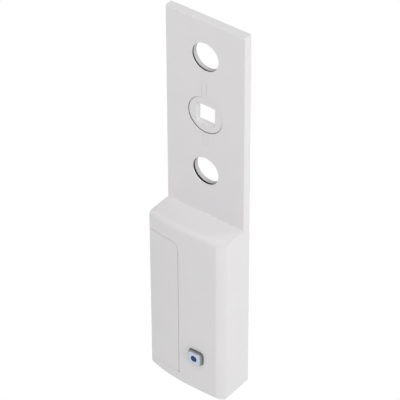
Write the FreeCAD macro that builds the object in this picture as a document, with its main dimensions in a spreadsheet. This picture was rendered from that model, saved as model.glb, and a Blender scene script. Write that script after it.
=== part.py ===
"""Window handle sensor: a thin battery-powered unit that sits between a window handle and its sash.

A flat plate carries a turning disc with a square socket for the handle spindle, and the thicker
housing below it holds one AAA cell, the radio electronics and a push button.

Frame, in millimetres: the origin is the spindle axis on the mounting face, +Z up along the unit,
+X to the right seen from the room, and the front looks towards -Y.
"""

import FreeCAD, Part
import math
import os
import Sketcher

from FreeCAD import Placement, Rotation, Vector

# Driving dimensions: alias, millimetres, meaning.
DIMENSIONS = (
    ("unit_width", 30.0, "overall width of plate and housing"),
    ("plate_top", 34.5, "top edge above the spindle axis"),
    ("plate_depth", 2.9, "thickness of the upper plate"),
    ("skin", 0.9, "front skin of the upper plate"),
    ("rim", 1.2, "side walls of the front cover"),
    ("housing_top", -38.1, "top face of the housing"),
    ("housing_bottom", -102.5, "bottom face of the housing"),
    ("housing_depth", 13.9, "depth of the housing at its crown"),
    ("right_fall", 0.5, "fall of the arched front at its right edge"),
    ("left_fall", 1.2, "fall of the arched front at its left edge"),
    ("left_rise", 1.35, "rise of the bottom edge towards the left"),
    ("brow_radius", 1.6, "rounding between top face and front"),
    ("corner_width", 3.0, "width of the rounded right-hand corner"),
    ("corner_depth", 1.9, "depth of that corner"),
    ("corner_radius", 8.0, "radius of that corner"),
    ("wall", 1.3, "walls of the housing"),
    ("cavity_front", 12.4, "depth of the hollow inside"),
    ("cavity_left", 10.6, "depth of the hollow at its left side"),
    ("cavity_bend", 8.5, "where the hollow starts to get shallower, left of the middle"),
    ("screw_pitch", 43.0, "distance between the two handle screws"),
    ("screw_hole", 10.0, "bore for the bosses of the handle rosette"),
    ("upper_lip", 0.22, "front skin left round the upper screw bore"),
    ("lip", 0.35, "front skin left round the lower screw bore"),
    ("lip_bore", 16.4, "clearance behind that lip"),
    ("collar", 11.1, "outside of the collars round the screw bores"),
    ("upper_gap", 0.5, "gap between lip and upper collar"),
    ("lower_gap", 0.85, "gap between lip and lower collar"),
    ("back_skin", 0.9, "thickness of the rear plate"),
    ("back_step", 11.7, "shallow step round each screw bore, in the back"),
    ("upper_step", 0.7, "depth of the upper step"),
    ("lower_step", 0.3, "depth of the lower step"),
    ("collar_foot", 13.1, "foot of each collar"),
    ("collar_foot_front", 1.45, "front face of that foot"),
    ("fit_gap", 0.1, "gap round parts that drop into each other"),
    ("disc_bore", 13.1, "opening in the front for the turning disc"),
    ("disc", 12.84, "visible part of the disc"),
    ("disc_sink", 0.18, "how far the disc lies below the front"),
    ("disc_edge", 0.04, "rounding of the disc's front edge"),
    ("disc_lip", 0.6, "edge left of the front skin round the disc, chamfered behind"),
    ("flange", 15.6, "flange that keeps the disc in"),
    ("flange_front", 1.95, "front face of the flange"),
    ("flange_back", 1.55, "back face of the flange"),
    ("hub", 11.4, "hub of the disc in the rear plate"),
    ("hub_back", 0.75, "back face of the hub"),
    ("hub_bore", 11.8, "opening in the rear plate for the hub"),
    ("spindle", 7.08, "square socket for a 7 mm spindle"),
    ("seam_right", -2.65, "right-hand seam of the battery cover"),
    ("seam_top", -44.8, "upper seam of the battery cover"),
    ("seam_bottom", -98.55, "lower seam of the battery cover"),
    ("seam_back", 3.0, "height of the fixed rim beside the battery cover"),
    ("seam_gap", 0.16, "gap along the seams"),
    ("seam_radius", 2.8, "upper corner of the battery cover"),
    ("seam_small_radius", 1.0, "lower corner of the battery cover"),
    ("cell_diameter", 10.5, "AAA cell"),
    ("cell_x", -8.3, "axis of the cell"),
    ("cell_y", -6.75, "axis of the cell"),
    ("cell_bottom", -92.6, "flat end of the cell"),
    ("cell_top", -48.9, "shoulder of the cell"),
    ("cell_tip", -48.1, "end of the positive tip"),
    ("sleeve", 0.15, "thickness of the printed sleeve round the cell"),
    ("tray_top", -46.0, "upper end of the battery tray"),
    ("tray_bottom", -98.4, "lower end of the battery tray"),
    ("tray_front", 12.15, "front edge of the tray walls"),
    ("minus_contact", -96.5, "contact behind the battery spring"),
    ("key_x", 4.4, "middle of the push button"),
    ("key_z", -88.2, "middle of the push button"),
    ("key_width", 5.5, "width of the push button"),
    ("key_height", 5.1, "height of the push button"),
    ("key_radius", 1.2, "corners of the push button"),
    ("key_gap", 0.12, "gap round the push button"),
    ("key_front", 15.25, "front of the push button"),
    ("key_cap", 0.35, "thickness of the pale cap on the push button"),
    ("key_bevel", 0.3, "bevel of the key round its cap"),
    ("cap_inset", 0.38, "edge of the cap, in from the outline of the key"),
    ("lens", 2.3, "round window in the cap"),
    ("board_front", 6.0, "front of the main board"),
    ("board_depth", 1.0, "thickness of the main board"),
    ("sensor_board_front", 1.3, "front of the thin board behind the disc"),
    ("post", 2.6, "posts that carry the main board"),
    ("pin_row", -47.6, "header pins between the two boards"),
    ("pin_first", 1.6, "first header pin, right of the middle"),
    ("pin_pitch", 1.8, "distance between header pins"),
    ("screw_x", 11.2, "housing screws, either side of the middle"),
    ("screw_upper", -42.5, "upper housing screws"),
    ("screw_lower", -98.75, "lower housing screw"),
    ("screw_shank", 2.0, "housing screw"),
    ("screw_head", 3.4, "countersunk head"),
    ("screw_boss", 4.0, "boss for a housing screw"),
    ("screw_length", 7.0, "length of a housing screw"),
    ("edge", 0.35, "softened outside edges"),
    ("rim_edge", 0.05, "softened front rims of the screw bores"),
    ("mark_depth", 0.12, "depth of the index marks"),
    ("mark_width", 0.4, "width of an index mark"),
    ("mark_length", 4.8, "length of an index mark"),
)

doc = FreeCAD.newDocument("WindowHandleSensor")
sheet = doc.addObject("Spreadsheet::Sheet", "Sizes")
for row, (alias, size, meaning) in enumerate(DIMENSIONS, start=1):
    sheet.set(f"A{row}", meaning)
    sheet.set(f"B{row}", str(size))
    sheet.setAlias(f"B{row}", alias)
doc.recompute()
ALIASES = {alias for alias, _, _ in DIMENSIONS}
NODES = []

SCREW_PLACES = (("screw_x", "screw_upper"), ("-1 * screw_x", "screw_upper"), ("screw_x", "screw_lower"))
BOARD_POSTS = (("11.8", "-52"), ("0.7", "-56"), ("11.8", "-93.5"), ("0.7", "-93.5"))
WIRE = 0.5
STEPS_PER_TURN = 16


# ---------------------------------------------------------------- expressions


def bound(text):
    """Writes each alias in a short formula as a reference to its cell."""
    words = str(text).replace("(", " ( ").replace(")", " ) ").split()
    return " ".join(f"Sizes.{word}" if word in ALIASES else word for word in words)


def number(text):
    """The present value of a short formula, for placing geometry before it is constrained."""
    value = doc.getObject("Sizes").evalExpression(bound(text).replace("Sizes.", ""))
    return float(getattr(value, "Value", value))


def keep(item, label):
    """Names a finished sub-part and adds it to the list that is written out."""
    item.Label = label
    NODES.append(item)
    return item


# ---------------------------------------------------------------- sketches


def new_body(name):
    return doc.addObject("PartDesign::Body", name)


def new_sketch(body, role, offset="0"):
    """A sketch on one of the body's own planes. On XZ_Plane the offset runs towards the front."""
    plane = next(item for item in body.Origin.OriginFeatures if item.Role == role)
    sketch = body.newObject("Sketcher::SketchObject", f"{body.Name}_sketch")
    sketch.AttachmentSupport = [(plane, "")]
    sketch.MapMode = "FlatFace"
    sketch.setExpression("AttachmentOffset.Base.z", bound(offset))
    return sketch


def pin_point(sketch, edge, point, across, along):
    """Ties one point of an edge to the sketch origin by two bound distances."""
    for kind, text in (("DistanceX", across), ("DistanceY", along)):
        index = sketch.addConstraint(Sketcher.Constraint(kind, -1, 1, edge, point, number(text)))
        sketch.setExpression(f"Constraints[{index}]", bound(text))


def outline(sketch, corners, arcs=None):
    """Draws a closed loop through corners given as pairs of formulas. arcs maps a run's number to
    (radius, side): side +1 puts the arc's centre on the left of the run, -1 on the right."""
    arcs = arcs or {}
    points = [Vector(number(across), number(along), 0) for across, along in corners]
    edges = []
    for index, start in enumerate(points):
        end = points[(index + 1) % len(points)]
        if index in arcs:
            radius_text, side = arcs[index]
            radius = number(radius_text)
            chord = end - start
            left = Vector(-chord.y, chord.x, 0).normalize()
            rise = math.sqrt(radius**2 - (chord.Length / 2) ** 2)
            centre = (start + end) * 0.5 + left * (side * rise)
            first, last = (start, end) if side > 0 else (end, start)
            angles = [math.atan2(p.y - centre.y, p.x - centre.x) for p in (first, last)]
            circle = Part.Circle(centre, Vector(0, 0, 1), radius)
            edge = sketch.addGeometry(Part.ArcOfCircle(circle, angles[0], angles[1]))
            rule = sketch.addConstraint(Sketcher.Constraint("Radius", edge, radius))
            sketch.setExpression(f"Constraints[{rule}]", bound(radius_text))
            edges.append((edge, 1, 2) if side > 0 else (edge, 2, 1))
        else:
            edge = sketch.addGeometry(Part.LineSegment(start, end))
            edges.append((edge, 1, 2))
    for index, (edge, start, _) in enumerate(edges):
        before, _, end = edges[index - 1]
        sketch.addConstraint(Sketcher.Constraint("Coincident", before, end, edge, start))
        pin_point(sketch, edge, start, *corners[index])
    return sketch


def rectangle(sketch, left, right, low, high):
    return outline(sketch, [(left, low), (right, low), (right, high), (left, high)])


def circle(sketch, across, along, diameter):
    middle = Vector(number(across), number(along), 0)
    shape = Part.Circle(middle, Vector(0, 0, 1), number(diameter) / 2)
    edge = sketch.addGeometry(shape)
    pin_point(sketch, edge, 3, across, along)
    rule = sketch.addConstraint(Sketcher.Constraint("Diameter", edge, number(diameter)))
    sketch.setExpression(f"Constraints[{rule}]", bound(diameter))
    return sketch


# ---------------------------------------------------------------- features


def pad(body, sketch, length, backwards=False):
    feature = body.newObject("PartDesign::Pad", f"{body.Name}_pad")
    feature.Profile = sketch
    feature.setExpression("Length", bound(length))
    feature.Reversed = backwards
    doc.recompute()
    return feature


def pocket(body, sketch, length=None, backwards=False):
    """Cuts behind the sketch, or in front of it when backwards, and checks that it cut something."""
    before = body.Tip.Shape.Volume
    feature = body.newObject("PartDesign::Pocket", f"{body.Name}_pocket")
    feature.Profile = sketch
    feature.Reversed = backwards
    if length is None:
        feature.Type = "ThroughAll"
    else:
        feature.setExpression("Length", bound(length))
    doc.recompute()
    if feature.Shape.isNull() or feature.Shape.Volume > before - 0.001:
        raise RuntimeError(f"{feature.Name} cuts nothing")
    return feature


def soften(body, size, chosen, kind="Fillet"):
    """Rounds or chamfers the edges of the body that chosen() accepts."""
    base = body.Tip
    names = [f"Edge{i}" for i, edge in enumerate(base.Shape.Edges, start=1) if chosen(edge)]
    if not names:
        raise RuntimeError(f"{body.Name} has no such edge")
    feature = body.newObject(f"PartDesign::{kind}", f"{body.Name}_{kind.lower()}")
    feature.Base = (base, names)
    feature.setExpression("Radius" if kind == "Fillet" else "Size", bound(size))
    doc.recompute()
    if not feature.isValid():
        raise RuntimeError(f"{feature.Name} failed")
    return feature


def middle_of(edge):
    return edge.valueAt((edge.FirstParameter + edge.LastParameter) / 2)


def runs_along(edge, axis):
    """True for a straight edge along an axis, 0 to 2."""
    if edge.Curve.TypeId not in ("Part::GeomLine", "Part::GeomBSplineCurve"):
        return False
    ends = [vertex.Point for vertex in edge.Vertexes]
    if len(ends) < 2:
        return False
    step = ends[1] - ends[0]
    return abs(step[axis]) > 0.98 * step.Length


def flat_at(edge, axis, text):
    """True for an edge that lies in the plane where the axis has this value."""
    level = number(text)
    return all(abs(vertex.Point[axis] - level) < 0.02 for vertex in edge.Vertexes)


def block(name, x_range, y_range, z_range):
    """A rectangular block between formulas."""
    item = doc.addObject("Part::Box", name)
    ranges = (("Length", "x", x_range), ("Width", "y", y_range), ("Height", "z", z_range))
    for side, axis, (low, high) in ranges:
        item.setExpression(side, bound(f"( {high} ) - ( {low} )"))
        item.setExpression(f"Placement.Base.{axis}", bound(low))
    doc.recompute()
    return item


def rod(name, start, diameter, length, direction="front"):
    """A cylinder from a start point, towards the front or upwards."""
    item = doc.addObject("Part::Cylinder", name)
    item.setExpression("Radius", bound(f"( {diameter} ) / 2"))
    item.setExpression("Height", bound(length))
    if direction == "front":
        item.Placement = Placement(Vector(0, 0, 0), Rotation(Vector(1, 0, 0), 90))
    for axis, text in zip("xyz", start):
        item.setExpression(f"Placement.Base.{axis}", bound(text))
    doc.recompute()
    return item


def joined(name, items):
    item = doc.addObject("Part::MultiFuse", name)
    item.Shapes = items
    doc.recompute()
    return item


def cut_from(name, base, tool):
    item = doc.addObject("Part::Cut", name)
    item.Base = base
    item.Tool = tool
    doc.recompute()
    return item


def group(name, items):
    """Separate solids that share one name."""
    item = doc.addObject("Part::Compound", name)
    item.Links = items
    doc.recompute()
    return item


# ---------------------------------------------------------------- the two outer shells


def housing_section(body, level):
    """Plan of the housing: straight back and sides, and a front that is nearly flat on the right and
    falls away to the left."""
    half = "unit_width / 2"
    corners = [
        (f"-1 * {half}", "0"),
        (f"-1 * {half}", "left_fall - housing_depth"),
        ("0", "-1 * housing_depth"),
        (half, "right_fall - housing_depth"),
        (half, "0"),
    ]
    arcs = {1: (crown_radius("left_fall"), 1), 2: (crown_radius("right_fall"), 1)}
    return outline(new_sketch(body, "XY_Plane", level), corners, arcs)


def crown_radius(fall):
    """Radius of an arc that is level in the middle of the unit and falls this far at its side."""
    return f"( ( unit_width / 2 ) ^ 2 + {fall} ^ 2 ) / ( 2 * {fall} )"


def housing_form(body):
    """The outside of the housing with its rounded brow, corner and bottom edge."""
    pad(body, housing_section(body, "housing_bottom"), "housing_top - housing_bottom")
    cut_base(body)

    def on_brow(edge):
        return flat_at(edge, 2, "housing_top") and middle_of(edge).y < -12

    soften(body, "brow_radius", on_brow)

    def left_edge(edge):
        middle = middle_of(edge)
        return middle.x < -14.9 and middle.y < -12.3 and runs_along(edge, 2)

    soften(body, "edge * 1.4", left_edge)

    def low_edge(edge):
        middle = middle_of(edge)
        outer = middle.y < -12 or abs(middle.x) > 14.9
        return outer and middle.z < number("housing_bottom + left_rise") + 0.1

    soften(body, "edge * 1.4", low_edge)
    cut_corner(body)


def cut_corner(body):
    """Takes off the front right-hand corner along a shallow arc."""
    across = "unit_width / 2 - corner_width"
    drop = f"right_fall * ( ( {across} ) / ( unit_width / 2 ) ) ^ 2"
    corners = [
        (across, f"{drop} - housing_depth"),
        (across, "-1 * housing_depth - 2"),
        ("unit_width / 2 + 2", "-1 * housing_depth - 2"),
        ("unit_width / 2 + 2", f"{drop} - housing_depth + corner_depth"),
        ("unit_width / 2", f"{drop} - housing_depth + corner_depth"),
    ]
    sketch = new_sketch(body, "XY_Plane", "housing_bottom - 1")
    outline(sketch, corners, {4: ("corner_radius", -1)})
    pocket(body, sketch, backwards=True)


def cut_base(body):
    """Lets the bottom edge rise in an arc towards the left."""
    side = "-1 * unit_width / 2"
    corners = [
        ("0", "housing_bottom"),
        (side, "housing_bottom + left_rise"),
        ("-1 * unit_width / 2 - 2", "housing_bottom + left_rise"),
        ("-1 * unit_width / 2 - 2", "housing_bottom - 2"),
        ("0", "housing_bottom - 2"),
    ]
    sketch = new_sketch(body, "XZ_Plane", "-1")
    outline(sketch, corners, {0: (crown_radius("left_rise"), -1)})
    pocket(body, sketch, backwards=True)


def hollow_plan(body, level, left, right):
    """Plan of the hollow inside the housing, between two side walls. It is shallower at the left,
    where the front falls away."""
    corners = [
        (left, "1"),
        (left, "-1 * cavity_left"),
        ("-1 * cavity_bend", "-1 * cavity_front"),
        (right, "-1 * cavity_front"),
        (right, "1"),
    ]
    return outline(new_sketch(body, "XY_Plane", level), corners)


def seam_outline(body, offset, gap):
    """The front outline of the battery cover, with its seams moved inwards by a gap. The lower seam is
    the tightest."""
    top = f"seam_top - {gap}"
    low = f"seam_bottom + 0.4 * {gap}"
    right = f"seam_right - {gap}"
    big = f"( seam_radius - {gap} )"
    small = f"( seam_small_radius - {gap} )"
    outside = "-1 * unit_width / 2 - 1"
    corners = [
        (outside, low),
        (f"{right} - {small}", low),
        (right, f"{low} + {small}"),
        (right, f"{top} - {big}"),
        (f"{right} - {big}", top),
        (outside, top),
    ]
    return outline(new_sketch(body, "XZ_Plane", offset), corners, {1: (small, 1), 3: (big, 1)})


def front_cover():
    body = new_body("FrontCoverBody")
    housing_form(body)
    half = "unit_width / 2"
    plate = rectangle(new_sketch(body, "XZ_Plane"), f"-1 * {half}", half, "housing_bottom + 20", "plate_top")
    pad(body, plate, "plate_depth")

    def plate_rim(edge):
        middle = middle_of(edge)
        return flat_at(edge, 1, "-1 * plate_depth") and (middle.z > -36 or abs(middle.x) > 14.9)

    soften(body, "edge", plate_rim)

    back = new_sketch(body, "XZ_Plane")
    inner = "unit_width / 2 - rim"
    rectangle(back, f"-1 * ( {inner} )", inner, "housing_top - 4", "plate_top - rim")
    pocket(body, back, "plate_depth - skin", backwards=True)
    hollow = hollow_plan(body, "housing_bottom + wall", f"-1 * ( {inner} )", inner)
    pocket(body, hollow, "housing_top - housing_bottom - 2 * wall", backwards=True)

    screw_bosses(body)
    bay = seam_outline(body, "seam_back", "0")
    pocket(body, bay, backwards=True)

    bores = new_sketch(body, "XZ_Plane")
    for sign in ("1", "-1"):
        circle(bores, "0", f"{sign} * screw_pitch / 2", "screw_hole")
    circle(bores, "0", "0", "disc_bore")
    pocket(body, bores, "plate_depth + 1", backwards=True)
    for sign, lip in (("1", "upper_lip"), ("-1", "lip")):
        relief = circle(new_sketch(body, "XZ_Plane"), "0", f"{sign} * screw_pitch / 2", "lip_bore")
        pocket(body, relief, f"plate_depth - {lip}", backwards=True)
    soften(body, "skin - disc_lip", on_inner_rim, "Chamfer")
    soften(body, "rim_edge", on_front_rim)
    button_opening(body)
    pry_notch(body)
    index_marks(body)
    return keep(body, "front_cover")


def on_front_rim(edge):
    """The front rims of the screw bores."""
    if not isinstance(edge.Curve, Part.Circle) or not flat_at(edge, 1, "-1 * plate_depth"):
        return False
    return abs(edge.Curve.Radius - number("screw_hole / 2")) < 0.01


def on_inner_rim(edge):
    """The inner rim of the opening for the disc."""
    if not isinstance(edge.Curve, Part.Circle) or not flat_at(edge, 1, "skin - plate_depth"):
        return False
    return abs(edge.Curve.Radius - number("disc_bore / 2")) < 0.01


def screw_bosses(body):
    """Bosses on the inside of the front that take the three housing screws."""
    bosses = new_sketch(body, "XZ_Plane", "back_skin + 0.05")
    for across, level in SCREW_PLACES:
        circle(bosses, across, level, "screw_boss")
    pad(body, bosses, "cavity_front - back_skin + 0.2")
    holes = new_sketch(body, "XZ_Plane", "back_skin - 0.5")
    for across, level in SCREW_PLACES:
        circle(holes, across, level, "screw_shank + 0.04")
    pocket(body, holes, "screw_length", backwards=True)


def button_opening(body):
    sketch = new_sketch(body, "XZ_Plane", "cavity_front - 1")
    rounded_key(sketch, "key_gap")
    pocket(body, sketch, backwards=True)


def pry_notch(body):
    """A small notch at the lower corner of the battery cover, for lifting the cover off."""
    notch = new_sketch(body, "XZ_Plane", "cavity_front + 0.3")
    rectangle(notch, "seam_right - 0.4", "seam_right + 0.1", "seam_bottom - 0.3", "seam_bottom + 0.3")
    pocket(body, notch, backwards=True)


def rounded_key(sketch, gap):
    """The rounded outline of the push button, grown by a gap."""
    wide = f"( key_width / 2 + {gap} )"
    tall = f"( key_height / 2 + {gap} )"
    bend = f"( key_radius + {gap} )"
    corners = []
    for across, along in ((1, -1), (1, 1), (-1, 1), (-1, -1)):
        flat = (f"key_x + {across} * ( {wide} - {bend} )", f"key_z + {along} * {tall}")
        steep = (f"key_x + {across} * {wide}", f"key_z + {along} * ( {tall} - {bend} )")
        corners += [flat, steep] if across * along < 0 else [steep, flat]
    return outline(sketch, corners, {index: (bend, 1) for index in (0, 2, 4, 6)})


def index_marks(body):
    """Shallow bars above and below the disc, for lining the disc up with the plate."""
    marks = new_sketch(body, "XZ_Plane", "plate_depth - mark_depth")
    for left, low in (("-1.5", "7"), ("0.2", "7"), ("-1", "-11.8"), ("0.6", "-11.8")):
        rectangle(marks, left, f"{left} + mark_width", low, f"{low} + mark_length")
    pocket(body, marks, backwards=True)


def battery_cover():
    body = new_body("BatteryCoverBody")
    housing_form(body)
    around = seam_outline(body, "0", "seam_gap")
    reach = "unit_width"
    corners = [
        (f"-1 * {reach}", "housing_bottom - 5"),
        (reach, "housing_bottom - 5"),
        (reach, "housing_top + 5"),
        (f"-1 * {reach}", "housing_top + 5"),
    ]
    outline(around, corners)
    pocket(body, around, backwards=True)
    behind = rectangle(new_sketch(body, "XZ_Plane"), "-20", "5", "housing_bottom", "housing_top")
    pocket(body, behind, "seam_back + seam_gap", backwards=True)
    hollow = hollow_plan(body, "housing_bottom", "-1 * ( unit_width / 2 - rim )", "seam_right + 2")
    pocket(body, hollow, "housing_top - housing_bottom", backwards=True)
    rib = new_sketch(body, "XZ_Plane", "cavity_left - 1.6")
    rectangle(rib, "cell_x - 2.4", "cell_x + 2.4", "tray_top + 0.16", "tray_top + 0.9")
    pad(body, rib, "cavity_front - cavity_left + 1.8")
    return keep(body, "battery_cover")


def rear_plate():
    body = new_body("RearPlateBody")
    inner = "( unit_width / 2 - rim - fit_gap )"
    low = "housing_bottom + wall + fit_gap"
    high = "plate_top - rim - fit_gap"
    pad(body, rectangle(new_sketch(body, "XZ_Plane"), f"-1 * {inner}", inner, low, high), "back_skin")
    soften(body, "edge", lambda edge: runs_along(edge, 1))
    soften(body, "edge * 0.6", lambda edge: flat_at(edge, 1, "0"), "Chamfer")
    for sign, gap in (("1", "upper_gap"), ("-1", "lower_gap")):
        collar = new_sketch(body, "XZ_Plane")
        circle(collar, "0", f"{sign} * screw_pitch / 2", "collar")
        pad(body, collar, f"plate_depth - lip - {gap}")
        foot = circle(new_sketch(body, "XZ_Plane"), "0", f"{sign} * screw_pitch / 2", "collar_foot")
        pad(body, foot, "collar_foot_front")
    posts = new_sketch(body, "XZ_Plane")
    for across, level in BOARD_POSTS:
        circle(posts, across, level, "post")
    pad(body, posts, "board_front - board_depth")
    bores = new_sketch(body, "XZ_Plane")
    for sign in ("1", "-1"):
        circle(bores, "0", f"{sign} * screw_pitch / 2", "screw_hole")
    circle(bores, "0", "0", "hub_bore")
    for across, level in SCREW_PLACES:
        circle(bores, across, level, "screw_shank + 0.3")
    pocket(body, bores, "plate_depth", backwards=True)
    for sign, depth in (("1", "upper_step"), ("-1", "lower_step")):
        step = circle(new_sketch(body, "XZ_Plane"), "0", f"{sign} * screw_pitch / 2", "back_step")
        pocket(body, step, depth, backwards=True)
    soften(body, "( screw_head - screw_shank ) / 2 - 0.05", on_screw_rim, "Chamfer")
    return keep(body, "rear_plate")


def on_screw_rim(edge):
    """The back rims of the three screw holes, which are countersunk."""
    if not isinstance(edge.Curve, Part.Circle) or not flat_at(edge, 1, "0"):
        return False
    return abs(edge.Curve.Radius - number("screw_shank + 0.3") / 2) < 0.01


# ---------------------------------------------------------------- the turning disc


def rotor():
    """The disc that the handle spindle turns, with a flange behind the front skin."""
    body = new_body("RotorBody")
    steps = (
        ("disc", "flange_front - 0.2", "plate_depth - disc_sink - flange_front + 0.2"),
        ("flange", "flange_back", "flange_front - flange_back"),
        ("hub", "hub_back", "flange_back - hub_back + 0.1"),
    )
    for diameter, start, length in steps:
        pad(body, circle(new_sketch(body, "XZ_Plane", start), "0", "0", diameter), length)
    side = "spindle / 2"
    socket = rectangle(new_sketch(body, "XZ_Plane"), f"-1 * {side}", side, f"-1 * {side}", side)
    pocket(body, socket, backwards=True)

    def front_rim(edge):
        return isinstance(edge.Curve, Part.Circle) and flat_at(edge, 1, "disc_sink - plate_depth")

    soften(body, "disc_edge", front_rim)
    return keep(body, "rotor_disc")


def wiper():
    """A ring of spring metal behind the flange, with three raised contact pips."""
    body = new_body("WiperBody")
    ring = new_sketch(body, "XZ_Plane", "flange_back - 0.1")
    circle(ring, "0", "0", "flange - 0.8")
    circle(ring, "0", "0", "hub + 0.4")
    pad(body, ring, "0.1")
    pips = new_sketch(body, "XZ_Plane", "flange_back - 0.18")
    for turn in range(3):
        angle = math.radians(90 + 120 * turn)
        reach = "( flange + hub ) / 4"
        circle(pips, f"{reach} * {math.cos(angle):.4f}", f"{reach} * {math.sin(angle):.4f}", "0.9")
    pad(body, pips, "0.1")
    return keep(body, "contact_wiper")


def sensor_board():
    body = new_body("SensorBoardBody")
    corners = [
        ("-11.5", "-36"),
        ("0", "-36"),
        ("0", "-52"),
        ("8.4", "-52"),
        ("8.4", "-36"),
        ("11.5", "-36"),
        ("11.5", "31"),
        ("-11.5", "31"),
    ]
    plan = outline(new_sketch(body, "XZ_Plane", "back_skin"), corners)
    circle(plan, "0", "0", "hub_bore + 0.4")
    for sign in ("1", "-1"):
        circle(plan, "0", f"{sign} * screw_pitch / 2", "collar_foot + 0.6")
    pad(body, plan, "sensor_board_front - back_skin")
    return keep(body, "sensor_board")


def contact_tracks():
    """Two printed contact rings on the thin board."""
    rings = []
    for index, (inner, outer) in enumerate((("12.7", "13.6"), ("14.1", "15"))):
        body = new_body(f"TrackBody{index}")
        ring = new_sketch(body, "XZ_Plane", "sensor_board_front")
        circle(ring, "0", "0", outer)
        circle(ring, "0", "0", inner)
        pad(body, ring, "0.05")
        rings.append(body)
    return keep(group("Tracks", rings), "contact_tracks")


# ---------------------------------------------------------------- battery bay


def battery_tray():
    """The moulded tray that holds the cell and divides it from the electronics."""
    left = "-1 * ( unit_width / 2 - rim - 0.15 )"
    right = "seam_right + 0.8"
    body = new_body("TrayBody")
    floor = rectangle(new_sketch(body, "XZ_Plane", "back_skin"), left, right, "tray_bottom", "tray_top")
    pad(body, floor, "tray_front - back_skin - 1.8")
    front = new_sketch(body, "XZ_Plane", "back_skin")
    rectangle(front, "cell_x", right, "tray_bottom", "tray_top")
    pad(body, front, "tray_front - back_skin")
    bay = new_sketch(body, "XY_Plane", "tray_bottom + 1.9")
    wide = "( cell_diameter / 2 + 0.2 )"
    corners = [
        ("-20", "-20"),
        (f"cell_x + {wide}", "-20"),
        (f"cell_x + {wide}", "cell_y"),
        (f"cell_x - {wide}", "cell_y"),
        ("-20", "cell_y"),
    ]
    outline(bay, corners, {2: (wide, 1)})
    pocket(body, bay, "tray_top - tray_bottom - 3.7", backwards=True)
    slots = new_sketch(body, "XZ_Plane", "board_front - 0.15")
    for level in ("cell_tip", "minus_contact"):
        rectangle(slots, "seam_right - 1", "seam_right + 3", f"{level} - 0.15", f"{level} + 0.45")
    pocket(body, slots, backwards=True)
    return keep(body, "battery_tray")


def cell():
    """One AAA cell: steel can, printed sleeve and positive tip."""
    foot = ("cell_x", "cell_y", "cell_bottom")
    raised = ("cell_x", "cell_y", "cell_bottom + 0.6")
    inside = "cell_diameter - 2 * sleeve"
    length = "cell_top - cell_bottom"
    can = rod("Can", foot, inside, length, "up")
    keep(rounded("CellCan", can, "0.5", lambda edge: True), "cell_can")
    outer = rod("SleeveOuter", raised, "cell_diameter", f"{length} - 1.2", "up")
    inner = rod("SleeveInner", foot, inside, length, "up")
    keep(cut_from("Sleeve", outer, inner), "cell_sleeve")
    tip = rod("Tip", ("cell_x", "cell_y", "cell_top"), "3.8", "cell_tip - cell_top", "up")
    top = number("cell_tip")
    keep(rounded("CellTip", tip, "0.3", lambda edge: abs(middle_of(edge).z - top) < 0.01), "cell_tip")


def rounded(name, base, radius, chosen):
    """A Part fillet on the circular edges that chosen() accepts."""
    item = doc.addObject("Part::Fillet", name)
    item.Base = base
    size = number(radius)
    picked = []
    for index, edge in enumerate(base.Shape.Edges, start=1):
        if edge.Curve.TypeId == "Part::GeomCircle" and chosen(edge):
            picked.append((index, size, size))
    item.Edges = picked
    doc.recompute()
    return item


def battery_contacts():
    """Spring metal at both ends of the bay, each with a tail that reaches the main board."""
    tail = ("-1 * board_front - 0.9", "-1 * board_front")
    for name, label, low, reach in (
        ("Positive", "positive_contact", "cell_tip", "3.2"),
        ("Negative", "negative_contact", "minus_contact", "3.8"),
    ):
        high = f"{low} + 0.3"
        across = (f"cell_x - {reach}", f"cell_x + {reach}")
        face = block(f"{name}Face", across, ("cell_y - 3.6", "cell_y + 3.6"), (low, high))
        strap = block(f"{name}Strap", (f"cell_x + {reach} - 0.5", "0.8"), tail, (low, high))
        keep(joined(f"{name}Contact", [face, strap]), label)


def battery_spring():
    """A conical spring of five turns between the cell and the negative contact."""
    low = number("cell_bottom") - 3.55 + WIRE / 2
    high = number("cell_bottom") - 0.05 - WIRE / 2
    flat_end = 0.1
    wide = 3.3
    narrow = 1.8
    turns = 5
    points = []
    for step in range(turns * STEPS_PER_TURN + 1):
        share = step / (turns * STEPS_PER_TURN)
        angle = 2 * math.pi * turns * share
        radius = wide + (narrow - wide) * share
        climb = min(1.0, max(0.0, (share - flat_end) / (1 - 2 * flat_end)))
        middle = Vector(number("cell_x"), number("cell_y"), low + (high - low) * climb)
        points.append(middle + Vector(radius * math.cos(angle), radius * math.sin(angle), 0))
    return keep(wire_along("Spring", points), "negative_spring")


def wire_along(name, points):
    """Round wire along a smooth curve through the points."""
    curve = Part.BSplineCurve()
    curve.interpolate(points)
    start = curve.tangent(curve.FirstParameter)[0]
    profile = Part.Wire([Part.makeCircle(WIRE / 2, points[0], start)])
    item = doc.addObject("Part::Feature", name)
    item.Shape = Part.Wire([curve.toShape()]).makePipeShell([profile], True, True)
    return item


# ---------------------------------------------------------------- main board and what is on it

BOARD_BACK = "board_depth - board_front"
BOARD_FACE = "-1 * board_front"
PINS = 4


def pin_place(pin):
    """Distance of a header pin from the middle of the unit."""
    return f"pin_first + {pin} * pin_pitch"


def main_board():
    body = new_body("MainBoardBody")
    corners = [("-1.4", "-96.6"), ("13.2", "-96.6"), ("13.2", "-46"), ("-1.4", "-46")]
    plan = outline(new_sketch(body, "XZ_Plane", "board_front - board_depth"), corners)
    for pin in range(PINS):
        circle(plan, pin_place(pin), "pin_row", "0.9")
    pad(body, plan, "board_depth")
    return keep(body, "main_board")


def on_board(name, x_range, z_range, height, lift="0"):
    """A rectangular component standing on the front of the main board."""
    back = f"{BOARD_FACE} - {lift}"
    return block(name, x_range, (f"{back} - {height}", back), z_range)


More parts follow.
